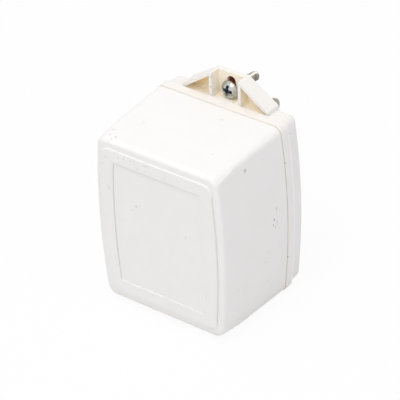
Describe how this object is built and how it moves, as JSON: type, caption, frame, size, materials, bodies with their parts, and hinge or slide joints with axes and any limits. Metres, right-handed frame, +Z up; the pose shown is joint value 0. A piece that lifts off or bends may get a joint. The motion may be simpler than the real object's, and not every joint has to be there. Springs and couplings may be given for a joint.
{
  "type": "plug-in AC transformer",
  "caption": "Wall-plug AC transformer: white two-part moulded case with bowed sides, a screw ear with its captive screw, flat blades behind, wound iron core inside.",
  "frame": {"origin": "middle of the flat rear face that lies against the wall outlet", "axes": "+Y into the wall, square to the rear face and along the blades; +Z up, from the case towards the screw ear; +X to the right as seen from the room"},
  "size_m": [0.0564, 0.062, 0.0772],
  "materials": {
    "case": "fine matt white moulding, slightly scuffed",
    "blade": "nickel plated brass",
    "screw": "zinc plated, faint yellow tint",
    "fibre": "pressed fibre sheet",
    "core": "silicon steel plates, varnished",
    "bobbin": "black glass-filled nylon",
    "copper": "enamelled copper wire",
    "tape": "yellow polyester tape",
    "tin": "tinned wire",
    "can": "drawn metal can",
    "sleeve": "translucent sleeve",
    "black_wire": "black insulation",
    "block": "black moulding",
    "brass": "stamped brass"
  },
  "bodies": {
    "root": {"front_shell": "case", "rear_shell": "case", "left_blade": "blade", "right_blade": "blade", "blade_retainer": "fibre", "mounting_screw": "screw", "retaining_washer": "fibre", "e_laminations": "core", "i_laminations": "core", "bobbin": "bobbin", "primary_pins": "tin", "secondary_pins": "tin", "primary_winding": "copper", "secondary_winding": "copper", "primary_tape": "tape", "secondary_tape": "tape", "thermal_cutoff": "can", "cutoff_sleeve": "sleeve", "primary_lead": "black_wire", "cutoff_pin_wire": "tin", "cutoff_blade_wire": "tin", "left_secondary_lead": "black_wire", "right_secondary_lead": "black_wire", "terminal_block": "block", "left_terminal_plate": "brass", "right_terminal_plate": "brass", "left_terminal_screw": "screw", "right_terminal_screw": "screw"}
  },
  "joints": []
}
